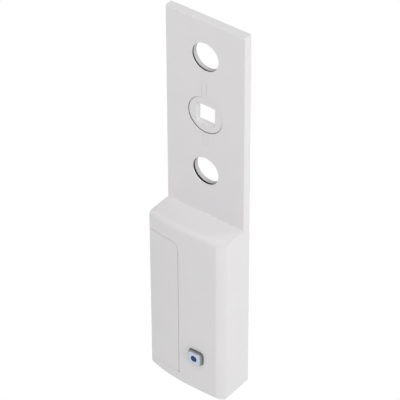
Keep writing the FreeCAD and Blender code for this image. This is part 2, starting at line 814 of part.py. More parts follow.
def board_link():
    """A four-pin header that joins the thin board to the main board."""
    pins = []
    for pin in range(PINS):
        sides = (f"{pin_place(pin)} - 0.25", f"{pin_place(pin)} + 0.25")
        depth = (f"{BOARD_FACE} - 0.8", "-1 * sensor_board_front")
        pins.append(block(f"Pin{pin}", sides, depth, ("pin_row - 0.25", "pin_row + 0.25")))
    keep(group("Pins", pins), "link_pins")
    top = "-1 * sensor_board_front - 0.6"
    strip = block("StripBlock", ("0.6", "8"), (BOARD_BACK, top), ("pin_row - 1.2", "pin_row + 1.2"))
    wells = [rod(f"Well{pin}", (pin_place(pin), "0", "pin_row"), "0.9", "8") for pin in range(PINS)]
    keep(cut_from("Strip", strip, joined("Wells", wells)), "link_strip")


def radio():
    keep(on_board("RadioBoard", ("0.9", "10.4"), ("-62", "-49.6"), "0.8"), "radio_board")
    can = on_board("RadioCanOuter", ("1.6", "9.7"), ("-60.6", "-51"), "1.9", "0.8")
    keep(rounded_box("RadioCan", can, 0.4), "radio_shield")


def rounded_box(name, base, radius):
    """Rounds every edge of a block except those on its back face."""
    item = doc.addObject("Part::Fillet", name)
    item.Base = base
    back = base.Shape.BoundBox.YMax
    item.Edges = [
        (index, radius, radius)
        for index, edge in enumerate(base.Shape.Edges, start=1)
        if not all(abs(vertex.Point.y - back) < 0.001 for vertex in edge.Vertexes)
    ]
    doc.recompute()
    return item


def antenna():
    """A short helical antenna standing beside the radio."""
    radius = 1.3
    turns = 6
    length = 13.0
    foot = Vector(12.0, -1 * number("board_front") - 1.9, -63.0)
    points = []
    for step in range(turns * STEPS_PER_TURN + 1):
        angle = 2 * math.pi * step / STEPS_PER_TURN
        level = length * step / (turns * STEPS_PER_TURN)
        points.append(foot + Vector(radius * math.cos(angle), radius * math.sin(angle), level))
    return keep(wire_along("Antenna", points), "antenna_coil")


def components():
    """The larger electronic components, then the small ones as one group."""
    packages = (
        # name, label, left, right, low, high, height, rounding
        ("Processor", "microcontroller", "0.4", "7.4", "-72.8", "-65.8", "0.9", 0.15),
        ("Memory", "memory_chip", "9", "12.9", "-72", "-67", "1.4", 0.15),
        ("Crystal", "crystal_can", "8.9", "12.7", "-65.9", "-64.1", "0.9", 0.3),
        ("Inductor", "boost_inductor", "0.2", "4.4", "-79.4", "-75.2", "2.1", 0.5),
    )
    for name, label, left, right, low, high, height, rounding in packages:
        package = on_board(f"{name}Block", (left, right), (low, high), height)
        keep(rounded_box(name, package, rounding), label)
    base = on_board("CapacitorBase", ("7.6", "12.8"), ("-80.9", "-75.7"), "0.6")
    can = rod("CapacitorCan", ("10.2", f"{BOARD_FACE} - 0.6", "-78.3"), "5", "4.6", "front")
    keep(joined("Capacitor", [base, can]), "buffer_capacitor")
    chips = []
    rows = (("-64.2", 4), ("-82.4", 3))
    for level, count in rows:
        for column in range(count):
            across = (f"0.2 + {column} * 2", f"1.2 + {column} * 2")
            chips.append(on_board(f"Chip{len(chips)}", across, (level, f"{level} + 0.5"), "0.5"))
    keep(group("Chips", chips), "chip_parts")
    lamp = on_board("Lamp", ("key_x + 0.2", "key_x + 1.8"), ("key_z + 3.4", "key_z + 4.2"), "0.7")
    keep(lamp, "status_led")


def push_button():
    """The key with its pale cap and round window, which presses the switch on the board."""
    body = new_body("KeyBody")
    stalk = rounded_key(new_sketch(body, "XZ_Plane", "cavity_front - 0.4"), "0")
    pad(body, stalk, "key_front - key_cap - cavity_front + 0.4")
    soften(body, "key_bevel", lambda edge: flat_at(edge, 1, "key_cap - key_front"), "Chamfer")
    flange = new_sketch(body, "XZ_Plane", "cavity_front - 0.7")
    sides = [f"key_x {sign} ( key_width / 2 + 0.6 )" for sign in "-+"]
    levels = [f"key_z {sign} ( key_height / 2 + 0.6 )" for sign in "-+"]
    rectangle(flange, *sides, *levels)
    pad(body, flange, "0.6")
    stem = circle(new_sketch(body, "XZ_Plane", "board_front + 4.3"), "key_x", "key_z", "2.6")
    pad(body, stem, "cavity_front - board_front - 4.8")
    keep(body, "button_key")

    cap = new_body("CapBody")
    pad(cap, rounded_key(new_sketch(cap, "XZ_Plane", "key_front - key_cap"), "-1 * cap_inset"), "key_cap")
    hole = circle(new_sketch(cap, "XZ_Plane", "key_front - key_cap"), "key_x", "key_z", "lens")
    pocket(cap, hole, backwards=True)
    soften(cap, "0.15", lambda edge: flat_at(edge, 1, "-1 * key_front") and not is_lens(edge))
    keep(cap, "button_cap")

    window = new_body("LensBody")
    pane = circle(new_sketch(window, "XZ_Plane", "key_front - key_cap"), "key_x", "key_z", "lens")
    pad(window, pane, "key_cap + 0.06")
    soften(window, "0.05", lambda edge: flat_at(edge, 1, "-1 * key_front - 0.06"))
    keep(window, "button_lens")


def is_lens(edge):
    """True for the rims of the hole that the window fills."""
    return isinstance(edge.Curve, Part.Circle) and abs(edge.Curve.Radius - number("lens / 2")) < 0.01


def tact_switch():
    """A small push switch: moulded base, metal cover plate, four legs and the moving plunger."""
    side = 2.25
    spans = [(f"{axis} - {side}", f"{axis} + {side}") for axis in ("key_x", "key_z")]
    base = on_board("SwitchBlock", spans[0], spans[1], "3")
    well = rod("SwitchWell", ("key_x", f"{BOARD_FACE} - 1.2", "key_z"), "2.5", "4", "front")
    keep(cut_from("SwitchBase", base, well), "switch_base")
    plate = on_board("SwitchPlate", spans[0], spans[1], "0.2", "3")
    hole = rod("SwitchHole", ("key_x", f"{BOARD_FACE} - 2", "key_z"), "2.5", "4", "front")
    keep(cut_from("SwitchCover", plate, hole), "switch_cover")
    legs = []
    for sign in "-+":
        for level in ("- 1.6", "+ 1.1"):
            near = f"key_x {sign} {side}"
            far = f"key_x {sign} {side + 0.8}"
            span = (far, near) if sign == "-" else (near, far)
            legs.append(on_board(f"Leg{len(legs)}", span, (f"key_z {level}", f"key_z {level} + 0.5"), "0.3"))
    keep(group("Legs", legs), "switch_legs")
    plunger = rod("Plunger", ("key_x", f"{BOARD_FACE} - 1.8", "key_z"), "2.3", "2.5", "front")
    keep(plunger, "switch_plunger")


def housing_screws():
    """Three countersunk screws from the back into the bosses of the front cover."""
    screws = []
    for index, (across, level) in enumerate(SCREW_PLACES):
        shank = rod(f"Shank{index}", (across, "-0.05", level), "screw_shank", "screw_length", "front")
        head = doc.addObject("Part::Cone", f"Head{index}")
        head.setExpression("Radius1", bound("screw_head / 2"))
        head.setExpression("Radius2", bound("screw_shank / 2"))
        head.setExpression("Height", bound("( screw_head - screw_shank ) / 2"))
        head.Placement = Placement(Vector(0, 0, 0), Rotation(Vector(1, 0, 0), 90))
        for axis, text in zip("xyz", (across, "-0.05", level)):
            head.setExpression(f"Placement.Base.{axis}", bound(text))
        solid = joined(f"ScrewSolid{index}", [shank, head])
        slots = []
        for turn, spread in enumerate(((1.0, 0.2), (0.2, 1.0))):
            x_span = (f"{across} - {spread[0]}", f"{across} + {spread[0]}")
            z_span = (f"{level} - {spread[1]}", f"{level} + {spread[1]}")
            slots.append(block(f"Slot{index}{turn}", x_span, ("-0.6", "0.5"), z_span))
        screws.append(cut_from(f"Screw{index}", solid, joined(f"Cross{index}", slots)))
    return keep(group("Screws", screws), "housing_screws")


def main():
    front_cover()
    battery_cover()
    rear_plate()
    rotor()
    wiper()
    sensor_board()
    contact_tracks()
    battery_tray()
    cell()
    battery_contacts()
    battery_spring()
    main_board()
    board_link()
    radio()
    antenna()
    components()
    push_button()
    tact_switch()
    housing_screws()
    doc.recompute()
    for item in doc.Objects:
        if {"Invalid", "Error"} & set(item.State):
            raise RuntimeError(f"{item.Name} is {item.State}")
    os.makedirs("parts", exist_ok=True)
    for item in NODES:
        if item.Shape.isNull() or not item.Shape.isValid():
            raise RuntimeError(f"{item.Label} has no valid shape")
    for item in NODES:
        item.Shape.exportStep(f"parts/{item.Label}.step")
        print(f"{item.Label}: {len(item.Shape.Solids)} solids, {item.Shape.Volume:.1f} mm3")


main()
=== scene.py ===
"""Looks of the window handle sensor: materials, small fittings, light and camera.

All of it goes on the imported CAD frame. Lengths are in metres, +X is to the right, -Y comes out of
the front and +Z goes up the unit.
"""
import math

import bmesh
import bpy
from mathutils import Matrix, Vector


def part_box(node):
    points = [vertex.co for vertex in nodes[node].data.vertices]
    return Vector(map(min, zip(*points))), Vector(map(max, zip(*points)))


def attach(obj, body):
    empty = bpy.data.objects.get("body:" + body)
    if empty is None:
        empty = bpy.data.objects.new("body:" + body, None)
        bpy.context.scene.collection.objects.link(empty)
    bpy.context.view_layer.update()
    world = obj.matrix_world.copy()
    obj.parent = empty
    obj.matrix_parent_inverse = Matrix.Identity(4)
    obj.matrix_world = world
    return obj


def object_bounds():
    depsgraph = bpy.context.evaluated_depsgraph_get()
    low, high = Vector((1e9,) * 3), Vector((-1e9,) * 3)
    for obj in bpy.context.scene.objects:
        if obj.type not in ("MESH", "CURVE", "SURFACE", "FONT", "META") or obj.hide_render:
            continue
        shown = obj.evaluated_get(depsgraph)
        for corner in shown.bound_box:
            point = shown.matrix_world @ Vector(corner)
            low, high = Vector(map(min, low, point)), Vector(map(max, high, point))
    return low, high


MM = 0.001

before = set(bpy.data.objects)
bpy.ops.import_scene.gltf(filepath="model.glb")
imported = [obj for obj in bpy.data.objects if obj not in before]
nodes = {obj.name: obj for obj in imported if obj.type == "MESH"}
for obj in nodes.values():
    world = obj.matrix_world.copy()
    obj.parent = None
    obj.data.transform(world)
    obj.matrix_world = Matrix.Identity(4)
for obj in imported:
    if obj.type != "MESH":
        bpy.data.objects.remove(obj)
cad_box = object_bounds()
MIDDLE = (cad_box[0] + cad_box[1]) / 2


# ---------------------------------------------------------------- material graphs


class Graph:
    """A material's node tree, with short calls for adding and linking nodes."""

    def __init__(self, name):
        self.material = bpy.data.materials.new(name)
        self.material.use_nodes = True
        self.tree = self.material.node_tree
        self.shader = self.tree.nodes["Principled BSDF"]
        self.place = self.add("ShaderNodeTexCoord").outputs["Object"]

    def add(self, kind, **settings):
        """A node with its attributes and its unlinked inputs set by name."""
        node = self.tree.nodes.new(kind)
        for key, value in settings.items():
            if key in node.inputs:
                node.inputs[key].default_value = value
            else:
                setattr(node, key, value)
        return node

    def link(self, source, target):
        self.tree.links.new(source, target)

    def uniform(self, **values):
        """Sets numbers and colours that are the same all over on the shader itself."""
        for key, value in values.items():
            self.shader.inputs[key.replace("_", " ")].default_value = value

    def drive(self, name, source):
        self.link(source, self.shader.inputs[name])

    def stretched(self, factors):
        node = self.add("ShaderNodeMapping")
        node.inputs["Scale"].default_value = factors
        self.link(self.place, node.inputs["Vector"])
        return node.outputs["Vector"]

    def noise(self, size, detail=2.0, roughness=0.5, stretch=None):
        """Noise whose grains are about this size. Returns its grey output."""
        node = self.add("ShaderNodeTexNoise", Scale=1.0 / size, Detail=detail, Roughness=roughness)
        self.link(self.stretched(stretch) if stretch else self.place, node.inputs["Vector"])
        return node.outputs["Fac"]

    def ramp(self, source, *stops):
        """A colour ramp through (position, colour) stops."""
        node = self.add("ShaderNodeValToRGB")
        elements = node.color_ramp.elements
        while len(elements) < len(stops):
            elements.new(0.5)
        for element, (position, colour) in zip(elements, stops):
            element.position = position
            element.color = (*colour, 1.0)
        self.link(source, node.inputs["Fac"])
        return node.outputs["Color"]

    def spread(self, source, low, high, start=0.0, end=1.0):
        """Maps start..end to low..high."""
        node = self.add("ShaderNodeMapRange")
        node.inputs["From Min"].default_value = start
        node.inputs["From Max"].default_value = end
        node.inputs["To Min"].default_value = low
        node.inputs["To Max"].default_value = high
        self.link(source, node.inputs["Value"])
        return node.outputs["Result"]

    def maths(self, operation, *values):
        node = self.add("ShaderNodeMath", operation=operation)
        for socket, value in zip(node.inputs, values):
            if isinstance(value, (int, float)):
                socket.default_value = value
            else:
                self.link(value, socket)
        return node.outputs["Value"]

    def between(self, value, low, high):
        """1 where the value lies between low and high."""
        return self.maths(
            "MULTIPLY", self.maths("GREATER_THAN", value, low), self.maths("LESS_THAN", value, high)
        )

    def bar(self, across, along, x, z, half_width, half_height):
        """1 inside a rectangle round (x, z). The half sizes are in millimetres."""
        return self.maths(
            "MULTIPLY",
            self.between(across, x - half_width * MM, x + half_width * MM),
            self.between(along, z - half_height * MM, z + half_height * MM),
        )

    def blended(self, share, first, second):
        """first where share is 0 and second where it is 1. Both are colours or colour outputs."""
        node = self.add("ShaderNodeMix", data_type="RGBA")
        self.link(share, node.inputs["Factor"])
        for name, value in (("A", first), ("B", second)):
            socket = next(s for s in node.inputs if s.name == name and s.type == "RGBA")
            if isinstance(value, tuple):
                socket.default_value = (*value, 1.0)
            else:
                self.link(value, socket)
        return next(s for s in node.outputs if s.type == "RGBA")

    def distance(self, across, along):
        """How far a point is from the origin of two coordinates."""
        squares = [self.maths("MULTIPLY", value, value) for value in (across, along)]
        return self.maths("SQRT", self.maths("ADD", *squares))

    def axes(self):
        node = self.add("ShaderNodeSeparateXYZ")
        self.link(self.place, node.inputs["Vector"])
        return node.outputs["X"], node.outputs["Y"], node.outputs["Z"]

    def relief(self, *layers, edge=0.0):
        """Bump from (height, depth) layers, over softly rounded edges."""
        normal = None
        if edge:
            bevel = self.add("ShaderNodeBevel", samples=4, Radius=edge)
            normal = bevel.outputs["Normal"]
        for height, depth in layers:
            bump = self.add("ShaderNodeBump", Distance=depth)
            self.link(height, bump.inputs["Height"])
            if normal:
                self.link(normal, bump.inputs["Normal"])
            normal = bump.outputs["Normal"]
        self.drive("Normal", normal)


def shade(colour, factor):
    return tuple(channel * factor for channel in colour)


# ---------------------------------------------------------------- plastics


SCREW_LEVELS = (21.5 * MM, -21.5 * MM)
HOLLOW_SIDES = (-13.8 * MM, 13.8 * MM)
HOLLOW_ENDS = (-33 * MM, 33.3 * MM)
HOLLOW_BACK = -0.92 * MM
DISC_GAP = (6.4 * MM, 6.62 * MM)
PLATE_RIM = -2.87 * MM
# Painted shade: a dark colour inside the hollow of the plate, and a darker one in the gap round the disc.
HOLLOW_SHADE = (0.16, 0.137, 0.115)
RING_SHADE = (0.06, 0.05, 0.043)


def with_hollow_shade(graph, skin, screw_radius, front):
    """The skin colour with painted shade inside the hollow of the plate: behind the front level, outside
    this radius in millimetres round the screw bores, and a darker painted shade in the gap round the
    disc."""
    x, y, z = graph.axes()
    across = graph.between(x, *HOLLOW_SIDES)
    inside = graph.maths("MULTIPLY", across, graph.between(z, *HOLLOW_ENDS))
    inside = graph.maths("MULTIPLY", inside, graph.between(y, front, HOLLOW_BACK))
    for level in SCREW_LEVELS:
        away = graph.distance(x, graph.maths("SUBTRACT", z, level))
        inside = graph.maths("MULTIPLY", inside, graph.maths("GREATER_THAN", away, screw_radius * MM))
    at_disc = graph.between(graph.distance(x, z), *DISC_GAP)
    ring = graph.maths("MULTIPLY", at_disc, graph.maths("GREATER_THAN", y, PLATE_RIM))
    # Paints shade into the hollow of the plate and into the gap round the disc.
    return graph.blended(ring, graph.blended(inside, skin, HOLLOW_SHADE), RING_SHADE)


TONE_DIP = 0.985


def moulded(name, colour, roughness=0.45, grain=0.16, depth=0.004, edge=0.06, hollow_shade=None):
    """Moulded plastic: fine eroded grain, a faint waviness, and small changes in tone and sheen.
    Grain, depth and edge are in millimetres. The last argument holds the limits of the painted shade
    inside the plate's hollow."""
    graph = Graph(name)
    wave = graph.noise(9 * MM, detail=1.0)
    fine = graph.noise(grain * MM, detail=3.0, roughness=0.6)
    skin = graph.ramp(wave, (0.3, shade(colour, TONE_DIP)), (0.7, colour))
    if hollow_shade:
        skin = with_hollow_shade(graph, skin, *hollow_shade)
    graph.drive("Base Color", skin)
    graph.drive("Roughness", graph.spread(fine, roughness - 0.06, roughness + 0.06))
    graph.relief((wave, 0.02 * MM), (fine, depth * MM), edge=edge * MM)
    return graph


def key_smoke():
    """Dark translucent moulding of the push button, lighter on its bevel."""
    graph = Graph("key_smoke")
    flow = graph.noise(1.6 * MM, detail=2.0, stretch=(1.0, 1.0, 0.4))
    fine = graph.noise(0.1 * MM)
    _, y, _ = graph.axes()
    bevel = graph.maths("LESS_THAN", y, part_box("button_key")[0].y + 0.27 * MM)
    side = graph.ramp(flow, (0.3, (0.125, 0.125, 0.12)), (0.7, (0.15, 0.15, 0.145)))
    graph.drive("Base Color", graph.blended(bevel, side, (0.27, 0.29, 0.285)))
    graph.drive("Roughness", graph.spread(fine, 0.18, 0.3))
    graph.uniform(Coat_Weight=0.3, Coat_Roughness=0.1)
    graph.relief((fine, 0.002 * MM), edge=0.08 * MM)
    return graph


def key_centre(graph, node):
    """Distances from the middle of a piece of the push button, sideways and upwards."""
    x, _, z = graph.axes()
    low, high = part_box(node)
    middle = (low + high) / 2
    across = graph.maths("ABSOLUTE", graph.maths("SUBTRACT", x, middle.x))
    along = graph.maths("ABSOLUTE", graph.maths("SUBTRACT", z, middle.z))
    return across, along


def key_cap():
    """Pale bluish cap of the push button, a little deeper in tone towards its rim."""
    graph = Graph("key_cap")
    across, along = key_centre(graph, "button_cap")
    rim = graph.spread(graph.maths("MAXIMUM", across, along), 0.0, 1.0, 1.9 * MM, 2.4 * MM)
    graph.drive("Base Color", graph.blended(rim, (0.66, 0.75, 0.90), (0.50, 0.57, 0.70)))
    fine = graph.noise(0.12 * MM)
    graph.drive("Roughness", graph.spread(fine, 0.28, 0.38))
    graph.relief((fine, 0.002 * MM), edge=0.06 * MM)
    return graph


def key_lens():
    """Round dark blue window that lights up, with a painted highlight that makes it a little lighter in
    its middle.
    """
    graph = Graph("key_lens")
    away = graph.distance(*key_centre(graph, "button_lens"))
    rim = graph.spread(away, 0.0, 1.0, 0.3 * MM, 1.1 * MM)
    cloud = graph.noise(0.8 * MM)
    # Painted highlight: the middle of the window is lighter than its rim.
    middle = graph.ramp(cloud, (0.3, (0.012, 0.035, 0.17)), (0.7, (0.018, 0.045, 0.20)))
    graph.drive("Base Color", graph.blended(rim, middle, (0.004, 0.011, 0.075)))
    fine = graph.noise(0.2 * MM)
    graph.drive("Roughness", graph.spread(fine, 0.2, 0.3))
    graph.uniform(Specular_IOR_Level=0.35)
    return graph


def resin(name, colour, roughness):
    """Moulded resin of the electronic packages, with a matt, slightly mottled skin."""
    graph = Graph(name)
    mottle = graph.noise(0.5 * MM, detail=4.0)
    fine = graph.noise(0.06 * MM)
    graph.drive("Base Color", graph.ramp(mottle, (0.3, shade(colour, 0.8)), (0.7, shade(colour, 1.2))))
    graph.drive("Roughness", graph.spread(fine, roughness - 0.08, roughness + 0.08))
    graph.relief((fine, 0.004 * MM), edge=0.05 * MM)
    return graph


# ---------------------------------------------------------------- metals


def metal(name, colour, roughness, grain, stretch=(1.0, 1.0, 1.0), edge=0.04):
    """Plated or drawn metal: streaks along the drawing direction, dull patches and rounded edges."""
    graph = Graph(name)
    streaks = graph.noise(grain * MM, detail=3.0, stretch=stretch)
    patches = graph.noise(2.2 * MM, detail=3.0)
    shares = graph.maths("MULTIPLY", streaks, 0.4), graph.maths("MULTIPLY", patches, 0.6)
    tone = graph.maths("ADD", *shares)
    graph.drive("Base Color", graph.ramp(tone, (0.3, shade(colour, 0.86)), (0.65, colour)))
    graph.drive("Roughness", graph.spread(tone, roughness + 0.09, roughness - 0.07))
    graph.uniform(Metallic=1.0)
    graph.relief((streaks, 0.003 * MM), edge=edge * MM)
    return graph


def capacitor_can():
    """Drawn aluminium can with the dark half-moon that marks the negative side on its top."""
    graph = Graph("capacitor_can")
    x, y, _ = graph.axes()
    low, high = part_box("buffer_capacitor")
    on_top = graph.maths("LESS_THAN", y, low.y + 0.05 * MM)
    at_side = graph.maths("LESS_THAN", x, low.x + 1.5 * MM)
    brushed = graph.noise(0.12 * MM, detail=3.0, stretch=(1.0, 0.15, 1.0))
    silver = graph.ramp(brushed, (0.3, (0.66, 0.66, 0.68)), (0.7, (0.82, 0.82, 0.84)))
    mark = graph.maths("MULTIPLY", on_top, at_side)
    base = graph.maths("GREATER_THAN", y, high.y - 0.6 * MM)
    dark = graph.maths("MAXIMUM", mark, base)
    graph.drive("Base Color", graph.blended(dark, silver, (0.03, 0.03, 0.032)))
    graph.drive("Metallic", graph.spread(dark, 1.0, 0.0))
    graph.drive("Roughness", graph.spread(brushed, 0.24, 0.38))
    graph.relief((brushed, 0.003 * MM), edge=0.08 * MM)
    return graph


# ---------------------------------------------------------------- boards


def board(name, resist, copper):
    """Circuit board: solder resist over copper traces, with gold-rimmed through-holes."""
    graph = Graph(name)
    flat = graph.add("ShaderNodeCombineXYZ")
    x, y, z = graph.axes()
    graph.link(x, flat.inputs["X"])
    graph.link(z, flat.inputs["Y"])
    lattice = graph.add("ShaderNodeTexBrick", Scale=1.0 / (9 * MM), offset=0.35, squash=0.7)
    lattice.inputs["Mortar Size"].default_value = 0.02
    lattice.inputs["Mortar Smooth"].default_value = 0.1
    lattice.inputs["Brick Width"].default_value = 0.32
    lattice.inputs["Row Height"].default_value = 0.11
    graph.link(flat.outputs["Vector"], lattice.inputs["Vector"])
    traces = lattice.outputs["Fac"]
    holes = graph.add("ShaderNodeTexVoronoi", voronoi_dimensions="2D", Scale=1.0 / (2.6 * MM))
    graph.link(flat.outputs["Vector"], holes.inputs["Vector"])
    hole = graph.maths("LESS_THAN", holes.outputs["Distance"], 0.055)
    ring = graph.maths("LESS_THAN", holes.outputs["Distance"], 0.12)
    weave = graph.noise(0.3 * MM, detail=2.0, stretch=(1.0, 1.0, 2.0))
    ground = graph.ramp(weave, (0.3, shade(resist, 0.85)), (0.7, resist))
    traced = graph.blended(traces, ground, copper)
    ringed = graph.blended(ring, traced, (0.80, 0.60, 0.25))
    graph.drive("Base Color", graph.blended(hole, ringed, shade(resist, 0.25)))
    graph.drive("Metallic", graph.maths("SUBTRACT", ring, hole))
    graph.drive("Roughness", graph.spread(weave, 0.28, 0.42))
    graph.uniform(Coat_Weight=0.3, Coat_Roughness=0.2)
    graph.relief((traces, 0.015 * MM), (weave, 0.004 * MM))
    return graph


# ---------------------------------------------------------------- battery cell


CELL_BAND = (0.13, 0.24, 0.29)


def cell_print():
    """Printed shrink sleeve: a lighter band at the plus end, and plain plus and minus signs."""
    graph = Graph("cell_print")
    x, y, z = graph.axes()
    low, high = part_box("cell_sleeve")
    middle = (low + high) / 2
    band = graph.maths("GREATER_THAN", z, high.z - 9 * MM)
    fine_line = graph.between(z, high.z - 10.2 * MM, high.z - 9.6 * MM)
    low_line = graph.between(z, low.z + 3.0 * MM, low.z + 3.6 * MM)
    fine = graph.noise(0.15 * MM)
    sweep = graph.noise(14 * MM, detail=1.0)
    navy = graph.ramp(sweep, (0.3, (0.045, 0.075, 0.115)), (0.7, (0.075, 0.115, 0.165)))
    colour = graph.blended(band, navy, CELL_BAND)
    lines = graph.maths("MAXIMUM", fine_line, low_line)
    across = graph.maths("SUBTRACT", x, middle.x)
    facing = graph.maths("LESS_THAN", y, middle.y)
    plus, minus = high.z - 4.8 * MM, low.z + 7.5 * MM
    signs = graph.maths(
        "MAXIMUM",
        graph.bar(across, z, 0.0, plus, 1.5, 0.3),
        graph.bar(across, z, 0.0, plus, 0.3, 1.5),
    )
    signs = graph.maths("MAXIMUM", signs, graph.bar(across, z, 0.0, minus, 1.5, 0.3))
    pale = graph.maths("MAXIMUM", lines, graph.maths("MULTIPLY", signs, facing))
    graph.drive("Base Color", graph.blended(pale, colour, (0.82, 0.82, 0.80)))
    graph.drive("Roughness", graph.spread(fine, 0.22, 0.34))
    graph.relief((fine, 0.002 * MM), edge=0.1 * MM)
    return graph


# ---------------------------------------------------------------- painting the CAD nodes


WHITE = (0.83, 0.815, 0.825)


def paint(graph, *names):
    """Gives the CAD nodes of these names one finish, and returns it."""
    for name in names:
        data = nodes[name].data
        data.materials.clear()
        data.materials.append(graph.material)
    return graph


def paint_all():
    """Every CAD node gets its finish. Returns the tinned one, which the small fittings share."""
    # The front and rear plates carry painted shade inside their hollow.
    paint(moulded("shell_plastic", WHITE, hollow_shade=(5.04, -2.72 * MM)), "front_cover", "battery_cover")
    # The rear plate is painted a darker white as painted shade for the walls of the screw holes, which
    # are all of it the camera sees.
    shaded_white = shade(WHITE, 0.76)
    paint(moulded("back_plastic", shaded_white, roughness=0.52, hollow_shade=(5.12, -3 * MM)), "rear_plate")
    paint(moulded("disc_plastic", WHITE, roughness=0.4, grain=0.3, depth=0.002), "rotor_disc")
    paint(moulded("tray_plastic", (0.74, 0.735, 0.72), roughness=0.5), "battery_tray")
    paint(moulded("plunger_plastic", (0.78, 0.78, 0.75), roughness=0.35, grain=0.1), "switch_plunger")
    paint(key_smoke(), "button_key")
    paint(key_cap(), "button_cap")
    paint(key_lens(), "button_lens")
    paint(
        resin("black_resin", (0.022, 0.022, 0.024), 0.5),
        "link_strip", "microcontroller", "memory_chip", "boost_inductor", "switch_base",
    )
    paint(resin("fired_ceramic", (0.36, 0.27, 0.18), 0.42), "chip_parts")
    paint(resin("lamp_resin", (0.80, 0.80, 0.70), 0.22), "status_led")
    paint(
        metal("cell_steel", (0.74, 0.74, 0.75), 0.26, 0.25, (1.0, 1.0, 0.08)),
        "cell_can", "cell_tip",
    )
    paint(metal("screw_steel", (0.62, 0.62, 0.64), 0.3, 0.2, (1.0, 0.2, 1.0)), "housing_screws")
    paint(metal("gold_plate", (0.88, 0.66, 0.28), 0.2, 0.3), "contact_tracks", "link_pins")
    paint(
        metal("spring_metal", (0.70, 0.68, 0.63), 0.25, 0.3, (1.0, 1.0, 0.3)),
        "contact_wiper", "positive_contact", "negative_contact", "negative_spring", "antenna_coil",
    )
    tin = paint(
        metal("tinned_sheet", (0.74, 0.74, 0.76), 0.28, 0.5, (0.2, 1.0, 1.0)),
        "radio_shield", "crystal_can", "switch_cover", "switch_legs",
    )
    paint(capacitor_can(), "buffer_capacitor")
    paint(
        board("green_board", (0.012, 0.10, 0.045), (0.03, 0.19, 0.075)),
        "main_board", "radio_board",
    )
    paint(board("brown_board", (0.075, 0.058, 0.045), (0.12, 0.085, 0.055)), "sensor_board")
    paint(cell_print(), "cell_sleeve")
    return tin


# ---------------------------------------------------------------- small fittings


def new_piece(name, form, tin):
    """A small tinned fitting from a finished bmesh. It rides the housing."""
    mesh = bpy.data.meshes.new(name)
    bmesh.ops.recalc_face_normals(form, faces=form.faces)
    form.to_mesh(mesh)
    form.free()
    mesh.materials.append(tin.material)
    item = bpy.data.objects.new(name, mesh)
    bpy.context.scene.collection.objects.link(item)
    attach(item, "housing")


def add_box(form, low, high, rounding=0.0):
    """A rectangular block between two corners, with rounded edges."""
    made = bmesh.ops.create_cube(form, size=1.0)["verts"]
    size = Vector(high) - Vector(low)
    middle = (Vector(high) + Vector(low)) / 2
    placing = Matrix.Translation(middle) @ Matrix.Diagonal((*size, 1.0))
    bmesh.ops.transform(form, matrix=placing, verts=made)
    if rounding:
        edges = list({edge for vertex in made for edge in vertex.link_edges})
        bmesh.ops.bevel(form, geom=edges, offset=rounding, segments=2, affect="EDGES")


def gull_leads(form, package, count, reach=0.55 * MM, width=0.26 * MM):
    """Bent leads down the two long sides of a chip: shoulder, leg and foot."""
    low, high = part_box(package)
    foot = high.y - 0.12 * MM
    pitch = (high.z - low.z) / count
    for index in range(count):
        level = low.z + pitch * (index + 0.5)
        for edge, outward in ((low.x, -1), (high.x, 1)):
            for near, far, top, bottom in (
                (-0.02, 0.5, 0.50, 0.62),
                (0.4, 0.52, 0.50, 1.0),
                (0.4, 1.0, 0.88, 1.0),
            ):
                ends = sorted((edge + outward * near * reach, edge + outward * far * reach))
                tops = [low.y + share * (foot - low.y) for share in (top, bottom)]
                corners = (ends[0], tops[0], level - width / 2), (ends[1], tops[1], level + width / 2)
                add_box(form, *corners)


def add_fittings(tin):
    """Leads, pads, end caps and solder joints that the CAD pieces don't have."""
    leads = bmesh.new()
    gull_leads(leads, "memory_chip", 6)
    new_piece("memory_leads", leads, tin)

    pads = bmesh.new()
    low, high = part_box("microcontroller")
    width, reach, tuck = 0.28 * MM, 0.2 * MM, 0.02 * MM
    for index in range(11):
        along = 0.65 * MM + index * 0.57 * MM
        for side_low, side_high in (
            ((low.x - reach, low.z + along), (low.x + tuck, low.z + along + width)),
            ((high.x - tuck, low.z + along), (high.x + reach, low.z + along + width)),
            ((low.x + along, low.z - reach), (low.x + along + width, low.z + tuck)),
            ((low.x + along, high.z - tuck), (low.x + along + width, high.z + reach)),
        ):
            under = (side_low[0], high.y - 0.14 * MM, side_low[1])
            over = (side_high[0], high.y - 0.01 * MM, side_high[1])
            add_box(pads, under, over)
    new_piece("controller_pads", pads, tin)

    caps = bmesh.new()
    add_end_caps(caps, chip_blocks())
    new_piece("chip_end_caps", caps, tin)

    ends = bmesh.new()
    low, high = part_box("boost_inductor")
    for left, right in (
        (low.x - 0.03 * MM, low.x + 0.6 * MM),
        (high.x - 0.6 * MM, high.x + 0.03 * MM),
    ):
        under = (left, high.y - 0.7 * MM, low.z + 0.6 * MM)
        over = (right, high.y - 0.01 * MM, high.z - 0.6 * MM)
        add_box(ends, under, over, rounding=0.05 * MM)
    new_piece("inductor_ends", ends, tin)

    joints = bmesh.new()
    for contact in ("positive_contact", "negative_contact"):
        low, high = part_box(contact)
        under = (high.x - 2.6 * MM, low.y - 0.02 * MM, low.z - 0.25 * MM)
        over = (high.x - 1.2 * MM, low.y + 0.4 * MM, high.z + 0.25 * MM)
        add_box(joints, under, over, rounding=0.1 * MM)
    new_piece("contact_joints", joints, tin)


